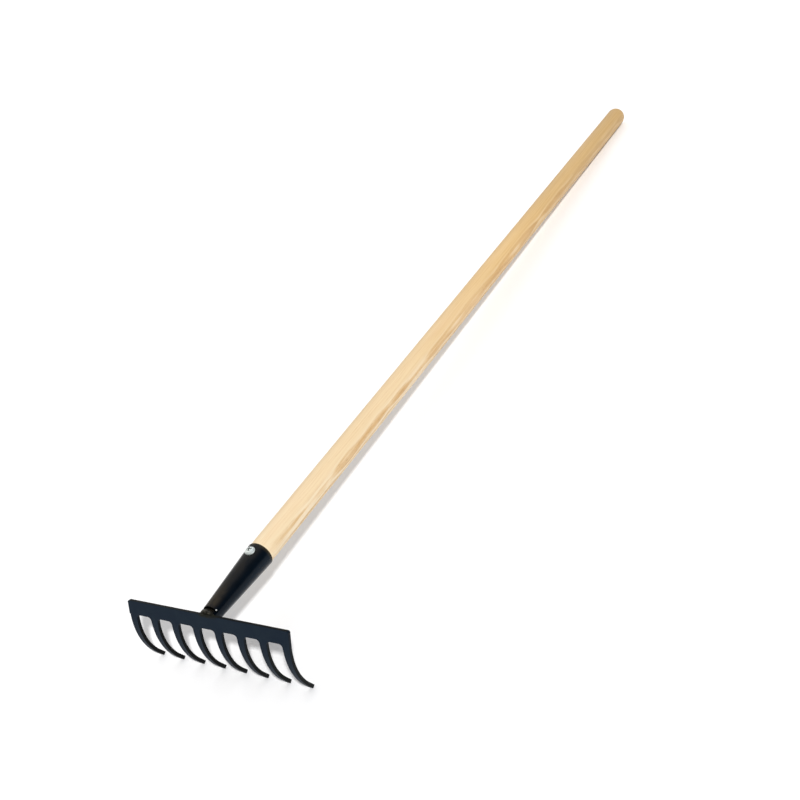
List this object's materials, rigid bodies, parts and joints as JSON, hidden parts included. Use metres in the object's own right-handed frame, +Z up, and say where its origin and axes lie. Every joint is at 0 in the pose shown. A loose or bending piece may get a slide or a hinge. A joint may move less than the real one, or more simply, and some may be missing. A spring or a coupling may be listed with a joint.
{
  "type": "garden rake",
  "caption": "Long-handled rake: bent steel toothed head welded to a conical socket, with a turned wooden handle held by a screw.",
  "frame": {"origin": "on the floor under the middle of the whole tool's box, with the tooth tips and the handle's free end resting on Z = 0", "axes": "+Y from the head towards the handle's free end, +X along the bar of the head, +Z up, teeth pointing down"},
  "size_m": [0.199, 1.2316, 0.0904],
  "materials": {
    "head_paint": "satin blue-black baked paint on blanked steel plate",
    "socket_paint": "glossy black baked paint on rolled sheet steel",
    "weld_paint": "black paint over rippled weld beads",
    "ash_wood": "pale turned and sanded ash, thin clear coat",
    "zinc_plate": "bright zinc plate"
  },
  "bodies": {
    "root": {"rake_head": "head_paint", "socket": "socket_paint", "welds": "weld_paint", "handle": "ash_wood", "screw": "zinc_plate"}
  },
  "joints": []
}
